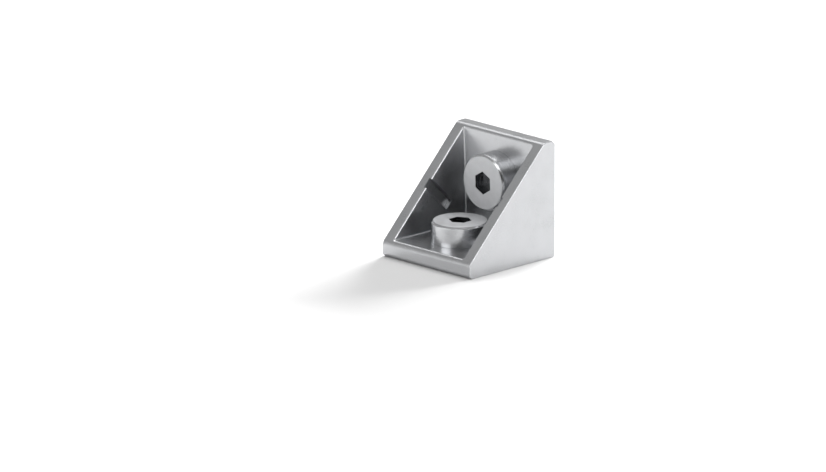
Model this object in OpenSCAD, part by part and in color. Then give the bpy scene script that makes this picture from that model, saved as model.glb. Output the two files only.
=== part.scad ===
// Corner bracket for aluminium framing with 8 mm slots: a die-cast box bracket with two low-head
// cap screws and the two slot nuts that they pull up.
//
// Millimetres. X runs across the bracket, Y runs from the toe (negative) to the back, and Z is
// up. The origin is the middle of the heel line, where the two seating planes meet.
// The bracket is its own mirror image in the sloping plane that halves the heel corner. What
// belongs to both flanges is written once, for the base, and mirrored onto the upright.

/* [Casting] */
// Width over the two side walls
body_w = 27.5; // [26:0.5:36]
// Length of each leg, from the heel to its end face
leg_l = 27; // [26:0.5:34]
// Height of the end face of each leg, up to the slope
end_h = 3.4; // [2.6:0.1:3.4]
// Thickness of each flange under its screw head
flange_t = 4.1; // [4.1:0.1:5.5]
// Thickness of each side wall at the rim
wall_t = 2.8; // [2.2:0.1:3.4]
// Draft of the side walls inside the pocket, in degrees
draft = 2.5; // [0.5:0.5:3]
// Gap between the heads of the two screws, where they pass each other
head_gap = 0.6; // [0.4:0.1:1.2]
// Clearance of a screw in its hole, on the diameter
hole_play = 1; // [0.4:0.1:1.2]

/* [Casting edges] */
// Radius at the two ends of the slope
slope_end_r = 1.6; // [0.8:0.1:1.6]
// Radius under the toe and behind the top
leg_end_r = 1; // [0.3:0.1:1.4]
// Radius of the heel
heel_r = 0.5; // [0.2:0.1:1]
// Radius of the rim's edge round the pocket
rim_edge_r = 0.3; // [0.2:0.05:0.6]
// Fillet along the inner edges of the pocket
pocket_r = 0.35; // [0.25:0.05:0.8]

/* [Cover clip grooves] */
// Width of each groove, along the slope
groove_w = 2.5; // [1.5:0.1:4]
// Depth of each groove into the rim
groove_depth = 0.65; // [0.5:0.05:1]
// Length of each groove, from the rim into the pocket
groove_l = 8.7; // [5:0.1:9.5]

/* [Slot of the frame] */
// Thickness of the slot's lips
lip_t = 2.5; // [2.3:0.1:3]
// Width of the slot behind its lips
slot_inner_w = 16.5; // [15.5:0.5:17.5]

/* [Screws] */
// Diameter of the thread
thread_d = 8; // [6:1:8]
// Length under the head
screw_l = 12; // [11:0.5:12.5]
// Diameter of the head
head_d = 13; // [11:0.5:14]
// Height of the head
head_h = 5; // [4:0.5:5.5]
// Chamfer round the top of the head
head_chamfer = 0.4; // [0.2:0.1:0.8]
// Width of the hexagon socket, across its flats
socket_w = 5; // [4:0.5:6]
// Depth of the socket's straight sides
socket_depth = 2.6; // [2:0.1:3]
// Point angle of the drilled bottom of the socket, in degrees
socket_point = 130; // [118:1:150]
// Turn of the socket about the screw's axis, in degrees
socket_turn = 32; // [0:1:59]
// Chamfer at the end of the thread
tip_chamfer = 1; // [0.5:0.1:1.2]

/* [Slot nuts] */
// Clearance of a nut across the inside of the slot, both sides together
nut_play = 0.9; // [0.5:0.1:1.5]
// Length of a nut, along the slot
nut_l = 14; // [12:1:20]
// Height of a nut
nut_h = 5.5; // [5:0.1:6]
// Height of a nut's upright sides, next to its bearing face
nut_side_h = 1.6; // [1:0.1:2.5]
// Chamfer across the ends of a nut
nut_chamfer = 0.8; // [0.4:0.1:1.2]
// Clearance of the thread in a nut, on the diameter
thread_play = 0.1; // [0.06:0.02:0.2]

/* [Hidden] */

// Number of segments of a drawn circle
$fn = 64;
// How far a cutter reaches past the faces that it cuts
over = 0.5;

// Distance from each seating plane to the screw that is parallel to it
hole_pos = flange_t + head_h + head_gap + head_d / 2;
hole_d = thread_d + hole_play;
// Sum of the distances from the two seating planes, for any point on the slope
slope_sum = leg_l + end_h;
// Half the pocket's width at the rim
mouth_half = body_w / 2 - wall_t;
// Depth of the pocket, square to the slope
pocket_depth = (slope_sum - 2 * flange_t) / sqrt(2);
// Lean of a side wall off the square, along a flange
wall_lean = atan(tan(draft) / sqrt(2));
// Open angle between a flange and a side wall
wall_angle = 180 - acos(sin(draft) / sqrt(2));
nut_w = slot_inner_w - nut_play;

casting_colour = [0.71, 0.72, 0.73];
screw_colour = [0.79, 0.8, 0.81];
nut_colour = [0.64, 0.65, 0.66];

function unit(v) = v / norm(v);

// The sliver between the corner at p, with sides towards a and b, and a round of radius r in it
module corner_ear(p, a, b, r) {
    to_a = unit(a - p);
    to_b = unit(b - p);
    half = acos(to_a * to_b) / 2;
    inward = unit(to_a + to_b);
    centre = p + inward * r / sin(half);
    difference() {
        polygon([p + to_a * r / tan(half), p - inward * over, p + to_b * r / tan(half), centre]);
        translate(centre)
            circle(r);
    }
}

// Extrudes an outline drawn as (Y, Z) across the bracket, evenly about its middle
module across(width) {
    rotate([90, 0, 90])
        translate([0, 0, -width / 2])
            linear_extrude(width)
                children();
}

// Puts the origin on the middle of the slope, with Y up the slope and Z out of the pocket
module on_slope() {
    translate([0, -slope_sum / 2, slope_sum / 2])
        rotate([45, 0, 0])
            children();
}

// Draws a thing of the base, and its mirror image on the upright
module both_flanges() {
    children();
    mirror([0, 1, 1])
        children();
}

// Draws a thing of one side wall, and its mirror image on the other
module both_sides() {
    children();
    mirror([1, 0, 0])
        children();
}

module casting_outline() {
    toe = [-leg_l, 0];
    heel = [0, 0];
    top = [0, leg_l];
    slope_top = [-end_h, leg_l];
    slope_toe = [-leg_l, end_h];
    difference() {
        polygon([toe, heel, top, slope_top, slope_toe]);
        corner_ear(toe, heel, slope_toe, leg_end_r);
        corner_ear(heel, toe, top, heel_r);
        corner_ear(top, heel, slope_top, leg_end_r);
        corner_ear(slope_top, top, slope_toe, slope_end_r);
        corner_ear(slope_toe, slope_top, toe, slope_end_r);
    }
}

// Side view of the pocket, as (Y, Z), with its fillet and its rounded ends at the slope
module pocket_side_view() {
    corner = [-flange_t, flange_t];
    rim_toe = [flange_t - slope_sum, flange_t];
    rim_top = [-flange_t, slope_sum - flange_t];
    difference() {
        polygon([corner, rim_toe, [-slope_sum, flange_t], [-flange_t, slope_sum], rim_top]);
        corner_ear(corner, rim_toe, rim_top, pocket_r);
    }
    corner_ear(rim_toe, corner, [-leg_l, end_h], rim_edge_r);
    corner_ear(rim_top, corner, [-end_h, leg_l], rim_edge_r);
}

// Section of the pocket square to the slope, as (X, height over the rim)
module pocket_section() {
    bottom = pocket_depth + over;
    bottom_half = mouth_half - bottom * tan(draft);
    polygon([
        [-bottom_half, -bottom],
        [bottom_half, -bottom],
        [mouth_half, 0],
        [mouth_half, over],
        [-mouth_half, over],
        [-mouth_half, 0]
    ]);
    for (side = [-1, 1]) {
        rim = [side * mouth_half, 0];
        corner_ear(rim, [side * body_w / 2, 0], [side * bottom_half, -bottom], rim_edge_r);
    }
}

// Fillet between the base and a side wall, from the rim to the heel
module side_fillet() {
    reach = (slope_sum - 2 * flange_t) / cos(wall_lean);
    translate([mouth_half, flange_t - slope_sum, flange_t])
        rotate([0, 0, wall_lean])
            rotate([90, 0, 0])
                translate([0, 0, -reach - over])
                    linear_extrude(reach + 2 * over)
                        corner_ear([0, 0], [-1, 0], [-cos(wall_angle), sin(wall_angle)], pocket_r);
}

module pocket() {
    difference() {
        intersection() {
            on_slope()
                rotate([90, 0, 0])
                    translate([0, 0, -slope_sum])
                        linear_extrude(2 * slope_sum)
                            pocket_section();
            across(body_w)
                pocket_side_view();
        }
        both_flanges()
            both_sides()
                side_fillet();
    }
}

module screw_hole() {
    translate([0, -hole_pos, -over])
        cylinder(h = flange_t + 2 * over, d = hole_d);
}

// Groove in the middle of a side wall, square to the slope, with a floor that has no draft
module clip_groove() {
    groove_from = mouth_half / 2;
    on_slope()
        translate([groove_from, -groove_w / 2, -groove_l])
            cube([mouth_half + groove_depth - groove_from, groove_w, groove_l + over]);
}

module bracket() {
    color(casting_colour)
        difference() {
            across(body_w)
                casting_outline();
            pocket();
            both_flanges()
                screw_hole();
            both_sides()
                clip_groove();
        }
}

// A cap screw that points down, with the seat of its head at the origin
module screw() {
    thread_r = thread_d / 2;
    head_r = head_d / 2;
    point_h = socket_w / 2 / tan(socket_point / 2);
    color(screw_colour)
        difference() {
            rotate_extrude()
                polygon([
                    [0, -screw_l],
                    [thread_r - tip_chamfer, -screw_l],
                    [thread_r, tip_chamfer - screw_l],
                    [thread_r, 0],
                    [head_r, 0],
                    [head_r, head_h - head_chamfer],
                    [head_r - head_chamfer, head_h],
                    [0, head_h]
                ]);
            translate([0, 0, head_h - socket_depth])
                rotate([0, 0, socket_turn]) {
                    linear_extrude(socket_depth + over)
                        circle(d = socket_w / cos(30), $fn = 6);
                    translate([0, 0, -point_h])
                        cylinder(h = point_h, r1 = 0, r2 = socket_w / 2);
                }
        }
}

module base_screw() {
    translate([0, -hole_pos, flange_t])
        screw();
}

module upright_screw() {
    translate([0, -flange_t, hole_pos])
        rotate([90, 0, 0])
            screw();
}

// A nut that lies along Y under the lips of a slot that is open towards +Z
module slot_nut() {
    bearing = -lip_t;
    bottom = bearing - nut_h;
    half_w = nut_w / 2;
    half_l = nut_l / 2;
    flank = nut_h - nut_side_h;
    color(nut_colour)
        difference() {
            intersection() {
                rotate([90, 0, 0])
                    translate([0, 0, -half_l])
                        linear_extrude(nut_l)
                            polygon([
                                [half_w, bearing],
                                [-half_w, bearing],
                                [-half_w, bearing - nut_side_h],
                                [flank - half_w, bottom],
                                [half_w - flank, bottom],
                                [half_w, bearing - nut_side_h]
                            ]);
                across(nut_w)
                    polygon([
                        [-half_l, bearing - nut_chamfer],
                        [nut_chamfer - half_l, bearing],
                        [half_l - nut_chamfer, bearing],
                        [half_l, bearing - nut_chamfer],
                        [half_l, bottom + nut_chamfer],
                        [half_l - nut_chamfer, bottom],
                        [nut_chamfer - half_l, bottom],
                        [-half_l, bottom + nut_chamfer]
                    ]);
            }
            translate([0, 0, bottom - over])
                cylinder(h = nut_h + 2 * over, d = thread_d + thread_play);
        }
}

module base_slot_nut() {
    translate([0, -hole_pos, 0])
        slot_nut();
}

module upright_slot_nut() {
    translate([0, 0, hole_pos])
        rotate([90, 0, 0])
            slot_nut();
}

bracket();
base_screw();
upright_screw();
base_slot_nut();
upright_slot_nut();
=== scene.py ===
# %% [markdown]
# # A die-cast corner bracket with two cap screws
#
# The bracket makes a right-angled joint stiff. It is one casting: two flanges that meet at the heel, and
# a triangular side wall at each end, so that it looks like a box cut off along a slope. A low-head cap
# screw goes through each flange and into a slot nut behind it.
#
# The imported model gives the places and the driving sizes. The casting and the screws are modelled again
# here, with the small rounds that a camera sees, and the nuts are copies with broken edges. Everything
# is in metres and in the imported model's own frame, so that each piece lands where its node was.

# %% Load the frame
import math

import bmesh
import bpy
from mathutils import Matrix, Vector


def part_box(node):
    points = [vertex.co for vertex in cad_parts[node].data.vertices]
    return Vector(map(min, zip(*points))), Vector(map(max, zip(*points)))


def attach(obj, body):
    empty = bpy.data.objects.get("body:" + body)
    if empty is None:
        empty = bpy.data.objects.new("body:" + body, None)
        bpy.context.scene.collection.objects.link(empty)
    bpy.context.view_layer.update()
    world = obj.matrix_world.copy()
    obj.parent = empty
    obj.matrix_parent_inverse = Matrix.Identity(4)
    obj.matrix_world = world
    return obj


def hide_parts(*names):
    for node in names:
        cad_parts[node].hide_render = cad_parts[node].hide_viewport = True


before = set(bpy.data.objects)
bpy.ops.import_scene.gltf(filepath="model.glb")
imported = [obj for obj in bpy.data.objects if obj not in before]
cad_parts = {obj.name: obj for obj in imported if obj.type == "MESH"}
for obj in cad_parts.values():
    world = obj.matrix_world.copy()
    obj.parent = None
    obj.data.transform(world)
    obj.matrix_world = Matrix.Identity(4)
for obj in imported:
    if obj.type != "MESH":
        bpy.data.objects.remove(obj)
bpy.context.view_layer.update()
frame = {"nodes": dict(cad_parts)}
MM = 0.001
print("packed nodes:", ", ".join(frame["nodes"]))

# %% [markdown]
# ## Sizes
#
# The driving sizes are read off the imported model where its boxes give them, so that the pieces follow
# it. The rest repeat the model's own numbers: what was measured on the casting in the photograph, the
# draft that was judged from the lines in its pocket, and the usual sizes of a low-head M8 screw.

# %% Sizes of the casting and the screws
casting_low, casting_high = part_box("bracket")
body_w = casting_high.x - casting_low.x
leg_l = casting_high.y - casting_low.y
end_h = 3.4 * MM
flange_t = 4.1 * MM
wall_t = 2.8 * MM
draft = math.radians(2.5)

screw_low, screw_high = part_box("base_screw")
hole_pos = -(screw_low.y + screw_high.y) / 2
head_r = (screw_high.x - screw_low.x) / 2
head_h = screw_high.z - flange_t
screw_l = flange_t - screw_low.z
thread_r = 4 * MM
hole_r = 4.5 * MM

slope_sum = leg_l + end_h
mouth_half = body_w / 2 - wall_t
print(f"casting {body_w / MM:.1f} mm wide with legs of {leg_l / MM:.1f} mm")
print(f"screws {hole_pos / MM:.1f} mm from the heel, heads {2 * head_r / MM:.1f} mm across")

# %% [markdown]
# ## The camera
#
# The photograph was taken from far away with a long lens: lines that run away from the camera hardly
# draw together. An orthographic camera would be close, but it shows no perspective at all. So this one
# stands almost four metres off, at the height and the turn that were solved from the casting's edges,
# and it is moved sideways, not shifted, to put the origin where the photograph has it.

# %% Camera
IMAGE_W, IMAGE_H = 826, 472
ORIGIN_PX = (511.2, 245.0)
PX_PER_MM = 4.464
LENS_PX = 17500.0
SENSOR_MM = 36
AZIMUTH = math.radians(45)
ELEVATION = math.radians(15.7)

back = Vector((math.sin(AZIMUTH), -math.cos(AZIMUTH), 0)) * math.cos(ELEVATION)
back.z = math.sin(ELEVATION)
right = Vector((math.cos(AZIMUTH), math.sin(AZIMUTH), 0))
up = back.cross(right)
px = MM / PX_PER_MM
aim = right * (IMAGE_W / 2 - ORIGIN_PX[0]) * px + up * (ORIGIN_PX[1] - IMAGE_H / 2) * px

camera_data = bpy.data.cameras.new("camera")
camera_data.sensor_width = SENSOR_MM
camera_data.lens = LENS_PX / IMAGE_W * SENSOR_MM
camera_data.clip_start = 0.1
camera_data.clip_end = 20
camera = bpy.data.objects.new("camera", camera_data)
facing = Matrix((right, up, back)).transposed().to_4x4()
camera.matrix_world = Matrix.Translation(aim + back * LENS_PX * px) @ facing
bpy.context.scene.collection.objects.link(camera)
bpy.context.scene.camera = camera
print(f"camera {camera.location.length:.2f} m away, lens {camera_data.lens:.0f} mm")

# %% [markdown]
# ## From a mesh to a finished piece
#
# A piece is modelled as a bmesh, Blender's mesh for scripts, and then turned into an object at the
# origin. Faces are shaded smooth, and an edge that is sharper than the steps of a round stays sharp.
# A Weighted Normal modifier lets the large flat faces stay flat right up to the small rounds, which
# saves a dense mesh.

# %% Turn a bmesh into a piece
SHARP = math.radians(38)


def add_object(name, bm):
    """Turns a bmesh into an object at the origin, with its faces pointing outwards."""
    bmesh.ops.recalc_face_normals(bm, faces=bm.faces)
    for face in bm.faces:
        face.smooth = True
    for edge in bm.edges:
        edge.smooth = len(edge.link_faces) == 2 and edge.calc_face_angle() < SHARP
    mesh = bpy.data.meshes.new(name)
    bm.to_mesh(mesh)
    bm.free()
    obj = bpy.data.objects.new(name, mesh)
    bpy.context.scene.collection.objects.link(obj)
    return obj


def finish_piece(obj, node):
    """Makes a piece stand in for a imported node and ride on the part's only body."""
    weighted = obj.modifiers.new("flat faces stay flat", "WEIGHTED_NORMAL")
    weighted.keep_sharp = True
    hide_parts(node)
    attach(obj, "root")
    print(f"{obj.name}: {len(obj.data.polygons)} faces")


# %% [markdown]
# ## Cutting with solids
#
# A foundry leaves a pocket by putting a core in the mould, and a machinist makes a hole with a drill.
# The faces round each opening could be drawn one by one instead, but a Boolean modifier works as those
# tools do, and still holds when a size changes. Its result is read back into a bmesh, so that the next
# step can go on with it, and points that fall together are merged.

# %% Cut one piece with another, or join them
# Points that lie closer together than this count as one.
MERGE = 0.001 * MM


def carve(bm, *cutters, operation="DIFFERENCE"):
    """Cuts the cutters out of a piece. With the operation UNION it joins them to the piece."""
    body = add_object("body", bm)
    tools = [add_object(f"cutter.{i}", cutter) for i, cutter in enumerate(cutters)]
    for tool in tools:
        cut = body.modifiers.new(tool.name, "BOOLEAN")
        cut.operation = operation
        cut.solver = "EXACT"
        cut.object = tool
    bpy.context.view_layer.update()
    carved = bmesh.new()
    carved.from_object(body, bpy.context.evaluated_depsgraph_get())
    for obj in [body, *tools]:
        mesh = obj.data
        bpy.data.objects.remove(obj)
        bpy.data.meshes.remove(mesh)
    bmesh.ops.remove_doubles(carved, verts=carved.verts, dist=MERGE)
    return carved


# %% [markdown]
# ## The casting's block
#
# The casting could be built from four plates. It is cut the way its mould is instead, as a solid block
# and a core that leaves the pocket, because that gives one skin with true fillets inside. The block is
# the side view: one flat face, whose corners are rounded before it is pulled out across the width. Last
# its sides get the small broken edge that tumbling leaves.

# %% Round an edge or a corner
def round_edges(bm, edges, radius, steps):
    """Gives edges of a solid a round."""
    bmesh.ops.bevel(
        bm, geom=edges, offset=radius, offset_type="OFFSET", affect="EDGES",
        segments=steps, profile=0.5, material=-1, clamp_overlap=False,
    )


def round_corner(bm, point, radius, steps):
    """Rounds the corner of a flat outline at the given place."""
    corner = min(bm.verts, key=lambda v: (v.co - point).length)
    arms = [(e.other_vert(corner).co - corner.co).normalized() for e in corner.link_edges]
    half = arms[0].angle(arms[1]) / 2
    bmesh.ops.bevel(
        bm, geom=[corner], offset=radius / math.tan(half), offset_type="OFFSET", affect="VERTICES",
        segments=steps, profile=0.5, material=-1,
    )


# %% The block
SLOPE_END_R = 1.6 * MM
LEG_END_R = 1 * MM
HEEL_R = 0.5 * MM
BROKEN_EDGE = 0.15 * MM


def casting_block():
    bm = bmesh.new()
    x = -body_w / 2
    toe = Vector((x, -leg_l, 0))
    heel = Vector((x, 0, 0))
    top = Vector((x, 0, leg_l))
    slope_top = Vector((x, -end_h, leg_l))
    slope_toe = Vector((x, -leg_l, end_h))
    bm.faces.new([bm.verts.new(p) for p in (toe, heel, top, slope_top, slope_toe)])
    for point in (slope_top, slope_toe):
        round_corner(bm, point, SLOPE_END_R, steps=8)
    for point in (toe, top):
        round_corner(bm, point, LEG_END_R, steps=10)
    round_corner(bm, heel, HEEL_R, steps=8)

    pulled = bmesh.ops.extrude_face_region(bm, geom=list(bm.faces))["geom"]
    far_side = [v for v in pulled if isinstance(v, bmesh.types.BMVert)]
    bmesh.ops.translate(bm, verts=far_side, vec=(body_w, 0, 0))
    bmesh.ops.recalc_face_normals(bm, faces=bm.faces)
    outline = [e for e in bm.edges if abs(e.verts[0].co.x - e.verts[1].co.x) < MERGE]
    round_edges(bm, outline, BROKEN_EDGE, steps=3)
    return bm


# %% [markdown]
# ## The pocket
#
# The pocket's core is a wedge too. Its two long faces make the flanges and its ends make the side walls,
# which lean outward by the draft that lets the core come out. So one end is drawn and pulled across, and
# then each point moves out to the wall at its own depth. The core stands a little out of the slope, so
# that the cut goes right through the face there. All its inner edges have the same fillet.

# %% The core of the pocket
POCKET_R = 0.35 * MM
# Each cutter reaches this far past the face that it opens.
OVER = 1 * MM


def below_slope(co):
    """How deep a place lies under the face of the slope."""
    return (slope_sum + co.y - co.z) / math.sqrt(2)


def pocket_core():
    bm = bmesh.new()
    out_sum = slope_sum + OVER * math.sqrt(2)
    heel = (0, -flange_t, flange_t)
    toe = (0, flange_t - out_sum, flange_t)
    top = (0, -flange_t, out_sum - flange_t)
    end = bm.faces.new([bm.verts.new(p) for p in (heel, toe, top)])
    pulled = bmesh.ops.extrude_face_region(bm, geom=[end])["geom"]
    for vert in bm.verts:
        side = 1 if vert in pulled else -1
        vert.co.x = side * (mouth_half - below_slope(vert.co) * math.tan(draft))
    bmesh.ops.recalc_face_normals(bm, faces=bm.faces)
    inner_edges = [e for e in bm.edges if any(below_slope(v.co) > 0 for v in e.verts)]
    round_edges(bm, inner_edges, POCKET_R, steps=6)
    return bm


pocket_depth = below_slope(Vector((0, -flange_t, flange_t)))
print(f"pocket {2 * mouth_half / MM:.1f} mm wide at the mouth, {pocket_depth / MM:.1f} mm deep")

# %% [markdown]
# ## The rim
#
# The mould leaves a small round where the slope turns into the pocket, and that round draws the bright
# line round the opening. The cut made those edges, so they are found by where they lie: on the slope,
# between its flat face and a face that goes down.

# %% Round the rim
RIM_R = 0.3 * MM


def round_rim(bm):
    """Rounds the edges where the face of the slope turns into the pocket."""
    slope = Vector((0, -1, 1)).normalized()
    rim = []
    for edge in bm.edges:
        if len(edge.link_faces) == 2 and all(abs(below_slope(v.co)) < MERGE for v in edge.verts):
            in_slope = [face.normal.dot(slope) > 0.999 for face in edge.link_faces]
            middle = (edge.verts[0].co + edge.verts[1].co) / 2
            between_walls = abs(middle.x) < mouth_half + MERGE
            between_flanges = flange_t - MERGE < middle.z < slope_sum - flange_t + MERGE
            if in_slope.count(True) == 1 and between_walls and between_flanges:
                rim.append(edge)
    print(f"rim of the pocket: {len(rim)} edges")
    round_edges(bm, rim, RIM_R, steps=4)


# %% [markdown]
# ## The holes
#
# Each flange has a clearance hole. A cylinder would cut it, but a plug that is spun from its outline can
# flare at one end, and so it leaves the small chamfer at the hole's outer end in the same cut. The spin
# is used again for the heads, so it can round the corners of its outline first.

# %% Spin an outline about an axis
def lathe(outline, steps, rounds=()):
    """Spins an outline of (radius, height) about Z. Each round is a corner, its radius and its steps."""
    bm = bmesh.new()
    verts = [bm.verts.new((r, 0, z)) for r, z in outline]
    for pair in zip(verts, verts[1:]):
        bm.edges.new(pair)
    for (r, z), radius, corner_steps in rounds:
        round_corner(bm, Vector((r, 0, z)), radius, corner_steps)
    bmesh.ops.spin(
        bm, geom=bm.verts[:] + bm.edges[:], cent=(0, 0, 0), axis=(0, 0, 1), dvec=(0, 0, 0),
        angle=math.tau, steps=steps, use_merge=True, use_duplicate=False,
    )
    bmesh.ops.remove_doubles(bm, verts=bm.verts, dist=MERGE)
    return bm


# %% Put what was spun in its flange
def on_base(bm):
    """Moves what was made about Z to the axis of the base screw."""
    bmesh.ops.translate(bm, verts=bm.verts, vec=(0, -hole_pos, 0))
    return bm


def on_upright(bm):
    """Lays what was made about Z down, and lifts it to the axis of the upright screw."""
    bmesh.ops.rotate(bm, verts=bm.verts, cent=(0, 0, 0), matrix=Matrix.Rotation(math.pi / 2, 3, "X"))
    bmesh.ops.translate(bm, verts=bm.verts, vec=(0, 0, hole_pos))
    return bm


# %% The plug that cuts a hole
HOLE_CHAMFER = 0.2 * MM


def hole_plug():
    return lathe([
        (0, -OVER),
        (hole_r + HOLE_CHAMFER + OVER, -OVER),
        (hole_r, HOLE_CHAMFER),
        (hole_r, flange_t + OVER),
        (0, flange_t + OVER),
    ], steps=72)


print(f"holes {2 * hole_r / MM:.1f} mm across in flanges {flange_t / MM:.1f} mm thick")

# %% [markdown]
# ## The clip grooves
#
# Each side wall has a groove in the middle of the slope, where the hook of a cover snaps in. It is a
# plain slot square to the slope, so a block turned by 45 degrees cuts it. Its floor has no draft, and
# the groove gets deeper as the wall thickens.

# %% The block that cuts a groove
GROOVE_W = 2.5 * MM
GROOVE_DEPTH = 0.65 * MM
GROOVE_L = 8.7 * MM


def groove_cutter(side):
    bm = bmesh.new()
    inner = mouth_half / 2
    outer = mouth_half + GROOVE_DEPTH
    bmesh.ops.create_cube(bm, size=1)
    bmesh.ops.scale(bm, verts=bm.verts, vec=(outer - inner, GROOVE_W, GROOVE_L + OVER))
    bmesh.ops.translate(bm, verts=bm.verts, vec=(side * (inner + outer) / 2, 0, (OVER - GROOVE_L) / 2))
    bmesh.ops.rotate(bm, verts=bm.verts, cent=(0, 0, 0), matrix=Matrix.Rotation(math.pi / 4, 3, "X"))
    bmesh.ops.translate(bm, verts=bm.verts, vec=(0, -slope_sum / 2, slope_sum / 2))
    return bm


# %% Make the casting
casting_bm = carve(casting_block(), pocket_core())
round_rim(casting_bm)
casting_bm = carve(casting_bm, on_base(hole_plug()), on_upright(hole_plug()))
casting_bm = carve(casting_bm, groove_cutter(-1), groove_cutter(1))
casting = add_object("casting", casting_bm)
finish_piece(casting, "bracket")

# %% [markdown]
# ## The screw's head
#
# A cap screw is turned from bar, so its head is spun from its outline. A cylinder with one bevel would
# have the chamfer too, but the corners of that chamfer are not sharp on a real head. In the outline they
# can have a small round of their own, which catches the light as a thin bright ring.

# %% The head
HEAD_CHAMFER = 0.5 * MM
HEAD_EDGE_R = 0.12 * MM
FOOT_R = 0.05 * MM
SHANK_R = thread_r - 0.1 * MM
SHANK_L = 3 * MM


def screw_head():
    face_edge = (head_r - HEAD_CHAMFER, head_h)
    side_edge = (head_r, head_h - HEAD_CHAMFER)
    foot = (head_r, 0)
    return lathe(
        [(0, head_h), face_edge, side_edge, foot, (SHANK_R, 0), (SHANK_R, -SHANK_L), (0, -SHANK_L)],
        steps=96,
        rounds=((face_edge, HEAD_EDGE_R, 3), (side_edge, HEAD_EDGE_R, 3), (foot, FOOT_R, 2)),
    )


# %% [markdown]
# ## The socket
#
# The socket is drilled first, and then a punch with six sides is driven in, so a cone stays at its
# bottom. The same two tools cut it here. A screw of this size takes a 5 mm key, but in the photograph
# the sockets measure 4.4 to 4.75 mm, so they are drawn 4.6 mm wide.

# %% The punch and the drill
SOCKET_W = 4.6 * MM
SOCKET_DEPTH = 2.6 * MM
SOCKET_TURN = math.radians(32)
DRILL_ANGLE = math.radians(130)
socket_corner_r = SOCKET_W / 2 / math.cos(math.pi / 6)


def socket_punch():
    bm = bmesh.new()
    bmesh.ops.create_circle(bm, cap_ends=True, segments=6, radius=socket_corner_r)
    # A circle's first point is on +Y, so a quarter turn back makes the angle start at +X.
    turn = Matrix.Rotation(SOCKET_TURN - math.pi / 2, 3, "Z")
    bmesh.ops.rotate(bm, verts=bm.verts, cent=(0, 0, 0), matrix=turn)
    bmesh.ops.translate(bm, verts=bm.verts, vec=(0, 0, head_h + OVER))
    pulled = bmesh.ops.extrude_face_region(bm, geom=list(bm.faces))["geom"]
    bottom = [v for v in pulled if isinstance(v, bmesh.types.BMVert)]
    bmesh.ops.translate(bm, verts=bottom, vec=(0, 0, -SOCKET_DEPTH - OVER))
    return bm


def drill_point():
    """The drill's cone. It stays just inside the flats, so that no two cuts share a surface."""
    bottom = head_h - SOCKET_DEPTH
    drill_r = 0.49 * SOCKET_W
    tip = bottom - drill_r / math.tan(DRILL_ANGLE / 2)
    inside = bottom + 0.3 * MM
    return lathe([(0, tip), (drill_r, bottom), (drill_r, inside), (0, inside)], steps=48)


print(f"socket {SOCKET_W / MM:.1f} mm wide, {2 * socket_corner_r / MM:.1f} mm across its corners")

# %% [markdown]
# ## The thread
#
# A rolled thread is one profile carried along a helix. It could be a bump in the finish, but then the
# gap between flange and nut would show a plain rod. One pitch of the profile is spun about the axis
# while it climbs. The turns meet point for point, so merging doubles joins them into one skin, which
# is then cut flat at both ends and chamfered at the tip.

# %% Spin the thread's skin
PITCH = 1.25 * MM
THREAD_DEPTH = 0.72 * MM
THREAD_TOP = -2.5 * MM
TURN_STEPS = 48


def thread_skin():
    """The open skin of the thread, which reaches past both of its ends."""
    turns = math.ceil((THREAD_TOP + screw_l) / PITCH) + 2
    start = -screw_l - PITCH
    # The crest is an eighth of the pitch wide, and the root a quarter.
    profile = [
        (thread_r, 0),
        (thread_r, PITCH / 8),
        (thread_r - THREAD_DEPTH, PITCH * 7 / 16),
        (thread_r - THREAD_DEPTH, PITCH * 11 / 16),
        (thread_r, PITCH),
    ]
    bm = bmesh.new()
    verts = [bm.verts.new((r, 0, start + z)) for r, z in profile]
    edges = [bm.edges.new(pair) for pair in zip(verts, verts[1:])]
    bmesh.ops.spin(
        bm, geom=verts + edges, cent=(0, 0, 0), axis=(0, 0, 1), dvec=(0, 0, PITCH / TURN_STEPS),
        angle=math.tau * turns, steps=TURN_STEPS * turns, use_merge=False, use_duplicate=False,
    )
    bmesh.ops.remove_doubles(bm, verts=bm.verts, dist=MERGE)
    return bm


# %% Cut the thread to length
TIP_CHAMFER = 1 * MM


def screw_thread():
    """The thread as a closed solid, with its chamfered tip down."""
    bm = thread_skin()
    for height, side in ((-screw_l, -1), (THREAD_TOP, 1)):
        bmesh.ops.bisect_plane(
            bm, geom=bm.verts[:] + bm.edges[:] + bm.faces[:], dist=MERGE / 100,
            plane_co=(0, 0, height), plane_no=(0, 0, side), clear_outer=True, clear_inner=False,
        )
        bmesh.ops.contextual_create(bm, geom=[e for e in bm.edges if e.is_boundary])
    for vert in bm.verts:
        radius = vert.co.xy.length
        most = thread_r - TIP_CHAMFER + (vert.co.z + screw_l)
        if radius > most:
            vert.co.xy *= most / radius
    return bm


# %% Make both screws
def screw():
    bm = carve(screw_head(), socket_punch(), drill_point())
    bm = carve(bm, screw_thread(), operation="UNION")
    bmesh.ops.translate(bm, verts=bm.verts, vec=(0, 0, flange_t))
    return bm


base_screw = add_object("base_cap_screw", on_base(screw()))
finish_piece(base_screw, "base_screw")
upright_screw = add_object("upright_cap_screw", on_upright(screw()))
finish_piece(upright_screw, "upright_screw")

# %% [markdown]
# ## The slot nuts
#
# The nuts are sawn from drawn bar and tumbled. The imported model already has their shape, so they are
# not modelled again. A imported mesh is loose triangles, so the copy is merged and its flat faces are
# made whole, and then it gets the small broken edges.

# %% Make both nuts
FLAT = math.radians(0.5)


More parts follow.
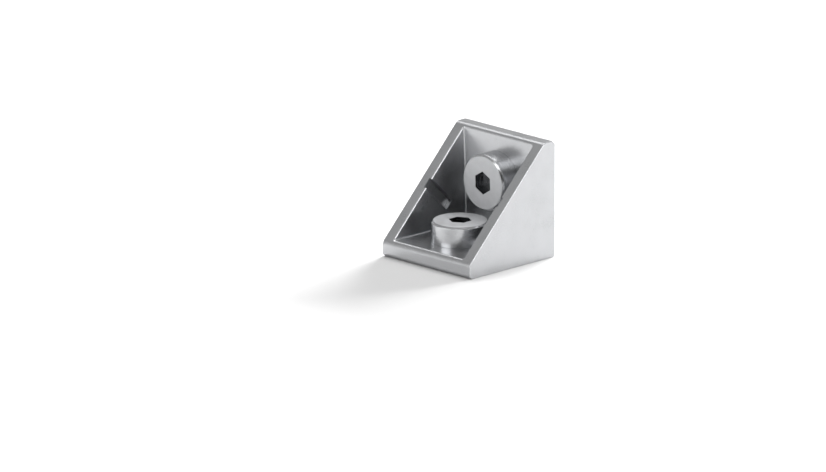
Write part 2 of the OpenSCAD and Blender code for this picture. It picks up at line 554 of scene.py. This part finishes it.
def tumbled_copy(node, name):
    """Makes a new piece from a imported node's mesh, with broken edges."""
    bm = bmesh.new()
    bm.from_mesh(frame["nodes"][node].data)
    bmesh.ops.remove_doubles(bm, verts=bm.verts, dist=MERGE)
    bmesh.ops.dissolve_limit(bm, angle_limit=FLAT, verts=bm.verts, edges=bm.edges)
    sharp_edges = [e for e in bm.edges if e.calc_face_angle() > SHARP]
    round_edges(bm, sharp_edges, BROKEN_EDGE, steps=3)
    return add_object(name, bm)


base_nut = tumbled_copy("base_slot_nut", "base_nut")
finish_piece(base_nut, "base_slot_nut")
upright_nut = tumbled_copy("upright_slot_nut", "upright_nut")
finish_piece(upright_nut, "upright_slot_nut")

# %% [markdown]
# ## How a finish is made
#
# All finishes here are bare metal, so their colour is the colour of what they mirror. What tells them
# apart is how smooth they are and what the tools left on them. So each finish is a few patterns in
# object coordinates, with real sizes, that change the roughness, tint the colour and raise a bump. One
# function adds every node, so that a material reads as a list of steps.

# %% Colours, nodes and bare metal
def linear(hex_colour):
    """A colour such as #c0c0c0 as linear red, green, blue and alpha."""
    values = [int(hex_colour[i:i + 2], 16) / 255 for i in (1, 3, 5)]
    return [v / 12.92 if v <= 0.04045 else ((v + 0.055) / 1.055) ** 2.4 for v in values] + [1]


def add_node(tree, kind, inputs=None, **settings):
    """Adds a node with its settings. Each input gets a value, or the socket that feeds it."""
    node = tree.nodes.new("ShaderNode" + kind)
    for name, value in settings.items():
        setattr(node, name, value)
    for key, value in (inputs or {}).items():
        if isinstance(value, bpy.types.NodeSocket):
            tree.links.new(value, node.inputs[key])
        else:
            node.inputs[key].default_value = value
    return node


def metal(name):
    """A new material, with its node tree and its metallic shader."""
    material = bpy.data.materials.new(name)
    material.use_nodes = True
    shader = material.node_tree.nodes["Principled BSDF"]
    shader.inputs["Metallic"].default_value = 1
    return material, material.node_tree, shader


# %% [markdown]
# ## Worn edges
#
# Handling and tumbling rub the edges that stand out. The wear could be painted by hand, but the Bevel
# node finds it: it gives the normal that a rounder edge would have, and where that differs from the
# face's own normal there is such an edge.

# %% Worn edges
def worn_edges(tree, radius):
    """1 on the edges that stand out, 0 on the faces."""
    rounder = add_node(tree, "Bevel", {"Radius": radius}, samples=4)
    plain = add_node(tree, "NewGeometry")
    likeness = add_node(
        tree, "VectorMath", {0: rounder.outputs["Normal"], 1: plain.outputs["Normal"]},
        operation="DOT_PRODUCT",
    )
    return add_node(
        tree, "MapRange", {"Value": likeness.outputs["Value"], "From Min": 0.995, "From Max": 0.93},
    ).outputs["Result"]


# %% [markdown]
# ## Die-cast aluminium
#
# The casting comes out of a steel mould with a smooth, slightly wavy skin, and is then tumbled with
# small stones. That leaves a fine grain, which blurs what the metal mirrors, and it rubs the edges
# smoother and a little brighter than the faces. The alloy holds silicon, so it is greyer than sheet
# aluminium, and what it mirrors twice or three times, deep in the pocket, turns out dark.

# %% The casting's patterns
# Real grain is finer still. It is drawn as coarse as it needs to be to show in a close view.
TUMBLED_GRAIN = 0.12 * MM
MOULD_WAVES = 6 * MM
GRAIN_HEIGHT = 0.0003 * MM
CASTING_WEAR = 0.3 * MM


def casting_patterns(tree):
    """The tumbled grain and the waves of the mould."""
    place = add_node(tree, "TexCoord").outputs["Object"]
    grain = add_node(
        tree, "TexNoise", {"Vector": place, "Scale": 1 / TUMBLED_GRAIN, "Detail": 2, "Roughness": 0.55},
    )
    waves = add_node(
        tree, "TexNoise", {"Vector": place, "Scale": 1 / MOULD_WAVES, "Detail": 2, "Roughness": 0.55},
    )
    return grain.outputs["Fac"], waves.outputs["Fac"]


# %% The casting's finish
def die_cast_aluminium():
    material, tree, shader = metal("die cast aluminium")
    grain, waves = casting_patterns(tree)
    wear = worn_edges(tree, CASTING_WEAR)

    # A Mix node keeps its colours in inputs 6 and 7 and gives them out at 2.
    tint = add_node(tree, "MapRange", {"Value": waves, "From Min": 0.35, "From Max": 0.65})
    skin = add_node(
        tree, "Mix", {0: tint.outputs["Result"], 6: linear("#b9babc"), 7: linear("#bdbec0")},
        data_type="RGBA",
    )
    rubbed = add_node(tree, "Mix", {0: wear, 6: skin.outputs[2], 7: linear("#c8c9cb")}, data_type="RGBA")
    tree.links.new(rubbed.outputs[2], shader.inputs["Base Color"])

    # Noise hardly leaves the range from 0.3 to 0.7, so that range is spread over the roughness.
    wavy = add_node(tree, "MapRange", {
        "Value": waves, "From Min": 0.3, "From Max": 0.7, "To Min": 0.28, "To Max": 0.3,
    })
    grainy = add_node(tree, "MapRange", {
        "Value": grain, "From Min": 0.3, "From Max": 0.7, "To Min": -0.02, "To Max": 0.02,
    })
    rough = add_node(
        tree, "Math", {0: wavy.outputs["Result"], 1: grainy.outputs["Result"]}, operation="ADD",
    )
    smoother = add_node(tree, "MapRange", {"Value": wear, "To Min": 1, "To Max": 0.7})
    final = add_node(
        tree, "Math", {0: rough.outputs["Value"], 1: smoother.outputs["Result"]}, operation="MULTIPLY",
    )
    tree.links.new(final.outputs["Value"], shader.inputs["Roughness"])

    bump = add_node(tree, "Bump", {"Height": grain, "Distance": GRAIN_HEIGHT})
    tree.links.new(bump.outputs["Normal"], shader.inputs["Normal"])
    return material


# %% [markdown]
# ## Zinc-plated screws
#
# The head's flat face is turned, so it carries fine rings about the axis and looks dull. Its chamfer and
# its side are smoother and mirror in long bands. The socket is painted darker than the plating: painted
# shade for the little light that gets into it. These surfaces could have a material each, but one is
# enough: how far a place is from the screw's axis, and along it, tells which surface it is on. One screw
# stands and one lies, so a Mapping node lays each one's patterns out on its own axis.

# %% Where a place is on the screw
def screw_zones(tree, place):
    """Two masks: 1 on the turned face, and 1 inside the socket, where shade is painted."""
    height = add_node(tree, "SeparateXYZ", {"Vector": place}).outputs["Z"]
    across = add_node(tree, "VectorMath", {0: place, 1: (1, 1, 0)}, operation="MULTIPLY")
    radius = add_node(tree, "VectorMath", {0: across.outputs["Vector"]}, operation="LENGTH")
    # Each mask goes from 0 to 1 within a tenth of a millimetre, so that no edge looks cut out.
    just_below, at_face = head_h - 0.1 * MM, head_h - 0.04 * MM
    just_outside, at_socket = socket_corner_r + 0.1 * MM, socket_corner_r + 0.05 * MM
    turned = add_node(
        tree, "MapRange", {"Value": height, "From Min": just_below, "From Max": at_face},
    )
    below_face = add_node(
        tree, "MapRange", {"Value": height, "From Min": at_face, "From Max": just_below},
    )
    near_axis = add_node(tree, "MapRange", {
        "Value": radius.outputs["Value"], "From Min": just_outside, "From Max": at_socket,
    })
    # This mask carries the painted shade inside the socket.
    socket_shade_mask = add_node(
        tree, "Math", {0: below_face.outputs["Result"], 1: near_axis.outputs["Result"]},
        operation="MULTIPLY",
    )
    return turned.outputs["Result"], socket_shade_mask.outputs["Value"]


# %% The screws' patterns
# Real rings lie closer together. They are drawn as coarse as they need to be to show in a close view.
RING_SPACING = 0.15 * MM
CLOUDS = 2.5 * MM
SIDE_STREAK = (3 * MM, 3 * MM, 0.12 * MM)
RING_HEIGHT = 0.001 * MM


def screw_patterns(tree, place):
    """The rings of the turned face, soft clouds, and the streaks round the side."""
    # At a scale of 1 a Wave texture repeats every tau / 20.
    rings = add_node(tree, "TexWave", {
        "Vector": place, "Scale": math.tau / 20 / RING_SPACING,
        "Distortion": 0.6, "Detail": 2, "Detail Scale": 1.5,
    }, wave_type="RINGS", rings_direction="Z")
    clouds = add_node(
        tree, "TexNoise", {"Vector": place, "Scale": 1 / CLOUDS, "Detail": 3, "Roughness": 0.55},
    )
    flattened = add_node(tree, "Mapping", {"Vector": place, "Scale": SIDE_STREAK}, vector_type="TEXTURE")
    streaks = add_node(tree, "TexNoise", {
        "Vector": flattened.outputs["Vector"], "Scale": 1, "Detail": 2, "Roughness": 0.55,
    })
    return rings.outputs["Fac"], clouds.outputs["Fac"], streaks.outputs["Fac"]


# %% The screws' finish
def zinc_plated_steel(name, seat, turn):
    """The finish of one screw. Its patterns start at the screw's seat and turn with its axis."""
    material, tree, shader = metal(name)
    place = add_node(tree, "Mapping", {
        "Vector": add_node(tree, "TexCoord").outputs["Object"], "Location": seat, "Rotation": turn,
    }, vector_type="TEXTURE").outputs["Vector"]
    turned, socket_shade_mask = screw_zones(tree, place)
    rings, clouds, streaks = screw_patterns(tree, place)

    tint = add_node(tree, "MapRange", {"Value": clouds, "From Min": 0.35, "From Max": 0.65})
    plating = add_node(
        tree, "Mix", {0: tint.outputs["Result"], 6: linear("#bdbec0"), 7: linear("#c6c7c9")},
        data_type="RGBA",
    )
    # Inside the socket the colour is painted darker: painted shade for the little light that gets in.
    colour = add_node(
        tree, "Mix", {0: socket_shade_mask, 6: plating.outputs[2], 7: linear("#808183")}, data_type="RGBA",
    )
    tree.links.new(colour.outputs[2], shader.inputs["Base Color"])

    # A Mix node for plain values takes them in inputs 2 and 3 and gives them out at 0.
    side = add_node(tree, "MapRange", {
        "Value": streaks, "From Min": 0.3, "From Max": 0.7, "To Min": 0.2, "To Max": 0.28,
    })
    face = add_node(tree, "MapRange", {
        "Value": clouds, "From Min": 0.3, "From Max": 0.7, "To Min": 0.54, "To Max": 0.62,
    })
    rough = add_node(tree, "Mix", {0: turned, 2: side.outputs["Result"], 3: face.outputs["Result"]})
    tree.links.new(rough.outputs[0], shader.inputs["Roughness"])

    marks = add_node(tree, "Mix", {0: turned, 2: streaks, 3: rings})
    bump = add_node(tree, "Bump", {"Height": marks.outputs[0], "Distance": RING_HEIGHT})
    tree.links.new(bump.outputs["Normal"], shader.inputs["Normal"])
    return material


# %% [markdown]
# ## Drawn steel nuts
#
# Bar is drawn through a die, which leaves fine lines along it. So the nuts are rougher and darker than
# the plated screws, and tumbling has rubbed their edges bright. A Wave texture would make the lines too
# even. They are noise that a Mapping node stretches along the bar and turns for the upright nut.

# %% The nuts' patterns
# Real lines are narrower. They are drawn as coarse as they need to be to show in a close view.
DRAWN_LINE = 0.15 * MM
LINE_STRETCH = (1, 25, 1)
BAR_CLOUDS = 3 * MM
LINE_HEIGHT = 0.004 * MM
NUT_WEAR = 0.25 * MM


def bar_patterns(tree, turn):
    """The lines along the drawn bar, and soft clouds."""
    place = add_node(tree, "TexCoord").outputs["Object"]
    stretched = add_node(
        tree, "Mapping", {"Vector": place, "Rotation": turn, "Scale": LINE_STRETCH}, vector_type="TEXTURE",
    )
    lines = add_node(tree, "TexNoise", {
        "Vector": stretched.outputs["Vector"], "Scale": 1 / DRAWN_LINE, "Detail": 2, "Roughness": 0.55,
    })
    clouds = add_node(
        tree, "TexNoise", {"Vector": place, "Scale": 1 / BAR_CLOUDS, "Detail": 3, "Roughness": 0.55},
    )
    return lines.outputs["Fac"], clouds.outputs["Fac"]


# %% The nuts' finish
def drawn_bar_steel(name, turn):
    """The finish of one nut. Its lines turn with the bar that it was sawn from."""
    material, tree, shader = metal(name)
    lines, clouds = bar_patterns(tree, turn)
    wear = worn_edges(tree, NUT_WEAR)

    tint = add_node(tree, "MapRange", {"Value": clouds, "From Min": 0.35, "From Max": 0.65})
    steel = add_node(
        tree, "Mix", {0: tint.outputs["Result"], 6: linear("#8f9193"), 7: linear("#9c9ea0")},
        data_type="RGBA",
    )
    rubbed = add_node(tree, "Mix", {0: wear, 6: steel.outputs[2], 7: linear("#b4b5b6")}, data_type="RGBA")
    tree.links.new(rubbed.outputs[2], shader.inputs["Base Color"])

    cloudy = add_node(tree, "MapRange", {
        "Value": clouds, "From Min": 0.3, "From Max": 0.7, "To Min": 0.32, "To Max": 0.42,
    })
    lined = add_node(tree, "MapRange", {
        "Value": lines, "From Min": 0.3, "From Max": 0.7, "To Min": -0.04, "To Max": 0.04,
    })
    rough = add_node(
        tree, "Math", {0: cloudy.outputs["Result"], 1: lined.outputs["Result"]}, operation="ADD",
    )
    tree.links.new(rough.outputs["Value"], shader.inputs["Roughness"])

    bump = add_node(tree, "Bump", {"Height": lines, "Distance": LINE_HEIGHT})
    tree.links.new(bump.outputs["Normal"], shader.inputs["Normal"])
    return material


# %% Give each piece its finish
standing = (0, 0, 0)
lying = (math.pi / 2, 0, 0)
base_seat = (0, -hole_pos, flange_t)
upright_seat = (0, -flange_t, hole_pos)
for piece, material in (
    (casting, die_cast_aluminium()),
    (base_screw, zinc_plated_steel("zinc plated base screw", base_seat, standing)),
    (upright_screw, zinc_plated_steel("zinc plated upright screw", upright_seat, lying)),
    (base_nut, drawn_bar_steel("drawn steel base nut", standing)),
    (upright_nut, drawn_bar_steel("drawn steel upright nut", lying)),
):
    piece.data.materials.clear()
    piece.data.materials.append(material)
    print(f"{piece.name}: {material.name}, {len(material.node_tree.nodes)} nodes")

# %% [markdown]
# ## The floor
#
# The floor is a large sheet of pale matt paper. It matters more than a floor usually does, because the
# toe and the outer wall mirror it. A colour without a pattern is enough for it.

# %% Floor
FLOOR_HALF = 3

floor_bm = bmesh.new()
bmesh.ops.create_grid(floor_bm, x_segments=1, y_segments=1, size=FLOOR_HALF)
floor = add_object("floor", floor_bm)
paper = bpy.data.materials.new("pale matt paper")
paper.use_nodes = True
paper_shader = paper.node_tree.nodes["Principled BSDF"]
paper_shader.inputs["Base Color"].default_value = linear("#d0d0d0")
paper_shader.inputs["Roughness"].default_value = 0.9
floor.data.materials.append(paper)
print(f"floor {2 * FLOOR_HALF} m wide, at the height of the base")

# %% [markdown]
# ## The lights
#
# Bare metal has hardly any colour of its own. It shows what stands round it, so each soft box stands
# where one of the faces mirrors it. The window behind is the strongest: it whitens the floor and skims
# along the outer wall. The top light is for the faces that look up, and the front and right fills reach
# into the pocket. A small box high in front draws the bright lines on the rim and on the heads' chamfers.
# A picture of a studio could light the scene too, but soft boxes can be placed for one face at a time.

# %% Soft boxes
LIGHT_DISTANCE = 1.6


def softbox(name, azimuth, elevation, size, radiance):
    """A soft light in a direction from the object, in degrees, that shines at the object."""
    a, e = math.radians(azimuth), math.radians(elevation)
    towards = Vector((math.sin(a) * math.cos(e), -math.cos(a) * math.cos(e), math.sin(e)))
    data = bpy.data.lights.new(name, "AREA")
    data.shape = "RECTANGLE"
    data.size, data.size_y = size
    data.energy = radiance * math.pi * data.size * data.size_y
    light = bpy.data.objects.new(name, data)
    light.location = towards * LIGHT_DISTANCE
    light.rotation_euler = towards.to_track_quat("Z", "Y").to_euler()
    bpy.context.scene.collection.objects.link(light)
    print(f"{name}: {data.energy:.0f} W")


softbox("window behind", 186, 13, (1.4, 0.7), 42)
softbox("top light", 228, 66, (1.4, 0.8), 3.8)
softbox("front fill", 345, 12, (1.1, 0.5), 3.2)
softbox("right fill", 90, 20, (0.7, 0.8), 4.5)
softbox("edge light", 24, 48, (0.8, 0.5), 2.5)

# %% [markdown]
# ## The room
#
# The room is evenly pale, but for a dark curtain behind the camera. The three inner faces of the pocket
# send light back the way it came, as the corner of a bicycle's reflector does, so the far wall shows the
# curtain, and the pocket gets its depth from that.

# %% Room with a dark curtain
PALE_WALLS = 0.46
CURTAIN = 0.03

room = bpy.data.worlds.new("studio room")
room.use_nodes = True
air = room.node_tree
curtain_side = (math.sin(AZIMUTH), -math.cos(AZIMUTH), 0)
nearness = add_node(
    air, "VectorMath", {0: add_node(air, "TexCoord").outputs["Generated"], 1: curtain_side},
    operation="DOT_PRODUCT",
)
glow = add_node(air, "MapRange", {
    "Value": nearness.outputs["Value"],
    "From Min": 0.7, "From Max": 0.92, "To Min": PALE_WALLS, "To Max": CURTAIN,
})
air.links.new(glow.outputs["Result"], air.nodes["Background"].inputs["Strength"])
air.nodes["Background"].inputs["Color"].default_value = (1, 1, 1, 1)
bpy.context.scene.world = room
bpy.context.scene.view_settings.view_transform = "Standard"
print(f"room radiance {PALE_WALLS}, curtain {CURTAIN}")
